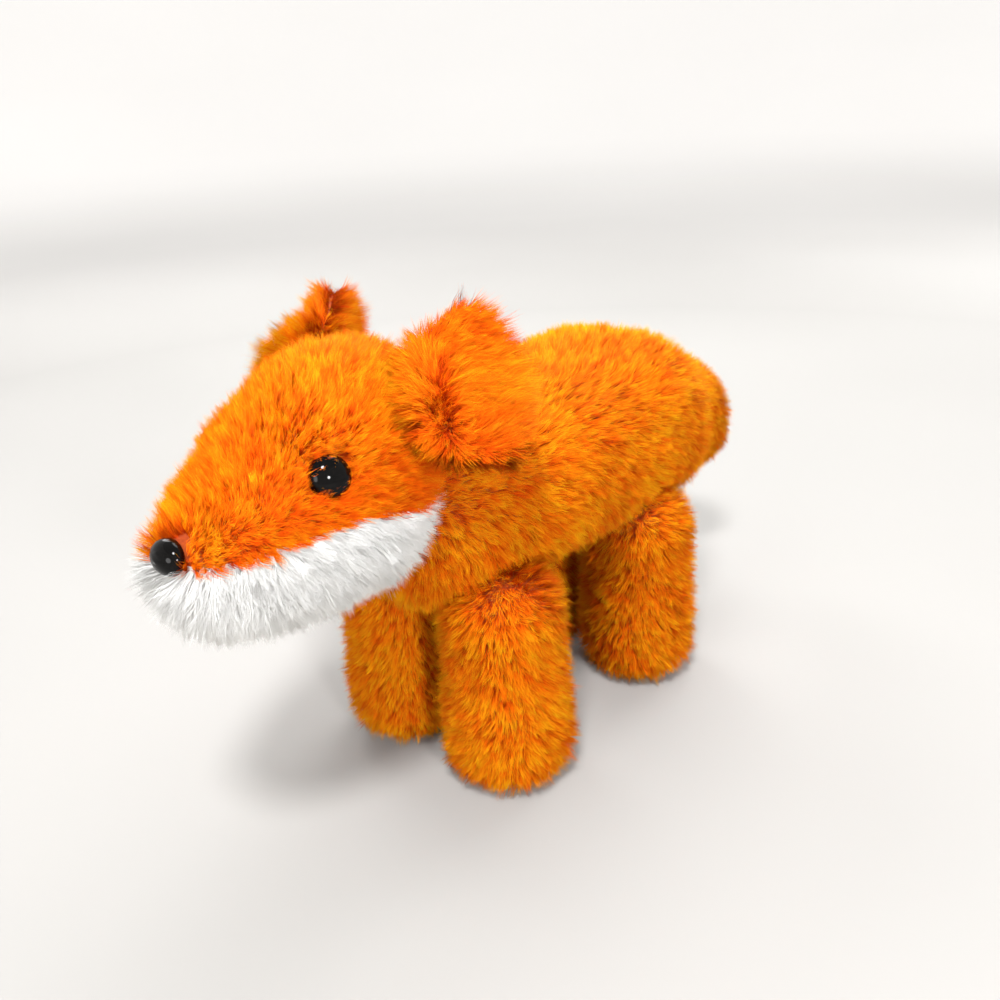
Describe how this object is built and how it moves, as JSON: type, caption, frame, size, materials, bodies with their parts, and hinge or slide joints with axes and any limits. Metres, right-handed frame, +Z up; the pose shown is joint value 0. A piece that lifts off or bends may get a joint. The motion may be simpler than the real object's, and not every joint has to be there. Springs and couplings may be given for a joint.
{
  "type": "plush fox",
  "caption": "Plush fox that stands on stub legs, with long orange fur, a white jaw, glossy black eyes and nose, cupped ears and a drooping brush tail; head, ears, legs and tail bend.",
  "frame": {"origin": "on the floor under the middle of the fox's bounding box, with the soles at Z = 0", "axes": "+Z up; the fox looks along -Y and its left side is +X"},
  "size_m": [0.1084, 0.2986, 0.1728],
  "materials": {
    "orange_fur": "long-pile plush, orange with yellow-orange tips and red-brown roots",
    "white_fur": "long-pile plush, white",
    "filling": "loose polyester fibre filling",
    "black_gloss": "moulded, high gloss black",
    "washer_plastic": "moulded, natural off-white"
  },
  "bodies": {
    "torso": {"torso_skin": "orange_fur", "torso_stuffing": "filling"},
    "neck": {"neck_wad": "filling"},
    "head": {"head_skin": "orange_fur", "jaw_panel": "white_fur", "head_stuffing": "filling", "eye_left": "black_gloss", "eye_right": "black_gloss", "nose": "black_gloss", "eye_left_washer": "washer_plastic", "eye_right_washer": "washer_plastic", "nose_washer": "washer_plastic"},
    "ear_left": {"ear_left_front": "orange_fur", "ear_left_back": "orange_fur"},
    "ear_right": {"ear_right_front": "orange_fur", "ear_right_back": "orange_fur"},
    "leg_front_left": {"leg_front_left_skin": "orange_fur", "leg_front_left_stuffing": "filling"},
    "leg_front_right": {"leg_front_right_skin": "orange_fur", "leg_front_right_stuffing": "filling"},
    "leg_hind_left": {"leg_hind_left_skin": "orange_fur", "leg_hind_left_stuffing": "filling"},
    "leg_hind_right": {"leg_hind_right_skin": "orange_fur", "leg_hind_right_stuffing": "filling"},
    "tail": {"tail_skin": "orange_fur", "tail_stuffing": "filling"}
  },
  "joints": [
    {"name": "head_turn", "type": "hinge", "parent": "torso", "child": "neck", "pos_m": [0, -0.04126, 0.099], "axis": [0, 0, 1], "range_deg": [-18, 18], "stiffness_Nm_per_rad": 1},
    {"name": "head_nod", "type": "hinge", "parent": "neck", "child": "head", "pos_m": [0, -0.04126, 0.099], "axis": [1, 0, 0], "range_deg": [-12, 12], "stiffness_Nm_per_rad": 1},
    {"name": "ear_left_fold", "type": "hinge", "parent": "head", "child": "ear_left", "pos_m": [0.02869, -0.07189, 0.15], "axis": [0.5328, -0.3308, -0.7789], "range_deg": [-5, 40], "stiffness_Nm_per_rad": 0.02},
    {"name": "ear_right_fold", "type": "hinge", "parent": "head", "child": "ear_right", "pos_m": [-0.02869, -0.07189, 0.15], "axis": [0.5328, 0.3308, 0.7789], "range_deg": [-5, 40], "stiffness_Nm_per_rad": 0.02},
    {"name": "leg_front_left_swing", "type": "hinge", "parent": "torso", "child": "leg_front_left", "pos_m": [0.0248, -0.04026, 0.064], "axis": [1, 0, 0], "range_deg": [-10, 10], "stiffness_Nm_per_rad": 0.5},
    {"name": "leg_front_right_swing", "type": "hinge", "parent": "torso", "child": "leg_front_right", "pos_m": [-0.0248, -0.04026, 0.064], "axis": [1, 0, 0], "range_deg": [-10, 10], "stiffness_Nm_per_rad": 0.5},
    {"name": "leg_hind_left_swing", "type": "hinge", "parent": "torso", "child": "leg_hind_left", "pos_m": [0.0248, 0.04424, 0.064], "axis": [1, 0, 0], "range_deg": [-10, 10], "stiffness_Nm_per_rad": 0.5},
    {"name": "leg_hind_right_swing", "type": "hinge", "parent": "torso", "child": "leg_hind_right", "pos_m": [-0.0248, 0.04424, 0.064], "axis": [1, 0, 0], "range_deg": [-10, 10], "stiffness_Nm_per_rad": 0.5},
    {"name": "tail_lift", "type": "hinge", "parent": "torso", "child": "tail", "pos_m": [0, 0.09197, 0.10307], "axis": [1, 0, 0], "range_deg": [0, 20], "stiffness_Nm_per_rad": 0.05}
  ]
}
